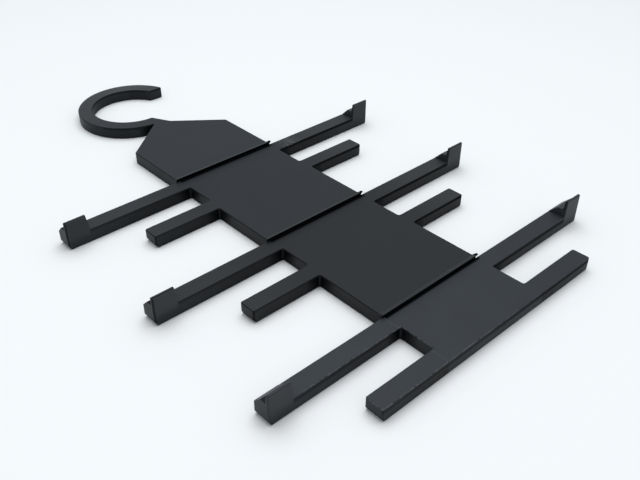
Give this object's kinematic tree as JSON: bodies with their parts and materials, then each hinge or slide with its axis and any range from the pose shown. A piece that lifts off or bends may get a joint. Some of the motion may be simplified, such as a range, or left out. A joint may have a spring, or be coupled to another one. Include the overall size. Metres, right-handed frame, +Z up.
{
  "type": "tie rack",
  "caption": "Flat hanging tie rack: a C-shaped hook on a plate, and slide-together modules with long arms, end stops and short bars.",
  "frame": {"origin": "centre of the rack's overall outline in plan, on its flat underside", "axes": "+Y from the end module to the hook, +Z up through the sheet towards the end stops, +X the way each module slides out of the piece above it"},
  "size_m": [0.233, 0.3604, 0.0177],
  "materials": {
    "charcoal_plastic": "matte, faintly textured"
  },
  "bodies": {
    "hook_plate": {"hook_plate": "charcoal_plastic"},
    "extension_module_1": {"extension_module_1": "charcoal_plastic"},
    "extension_module_2": {"extension_module_2": "charcoal_plastic"},
    "end_module": {"end_module": "charcoal_plastic"}
  },
  "joints": [
    {"name": "seam_1_slide", "type": "slide", "parent": "hook_plate", "child": "extension_module_1", "axis": [1, 0, 0], "range_m": [0, 0.068]},
    {"name": "seam_2_slide", "type": "slide", "parent": "extension_module_1", "child": "extension_module_2", "axis": [1, 0, 0], "range_m": [0, 0.068]},
    {"name": "seam_3_slide", "type": "slide", "parent": "extension_module_2", "child": "end_module", "axis": [1, 0, 0], "range_m": [0, 0.068]}
  ]
}
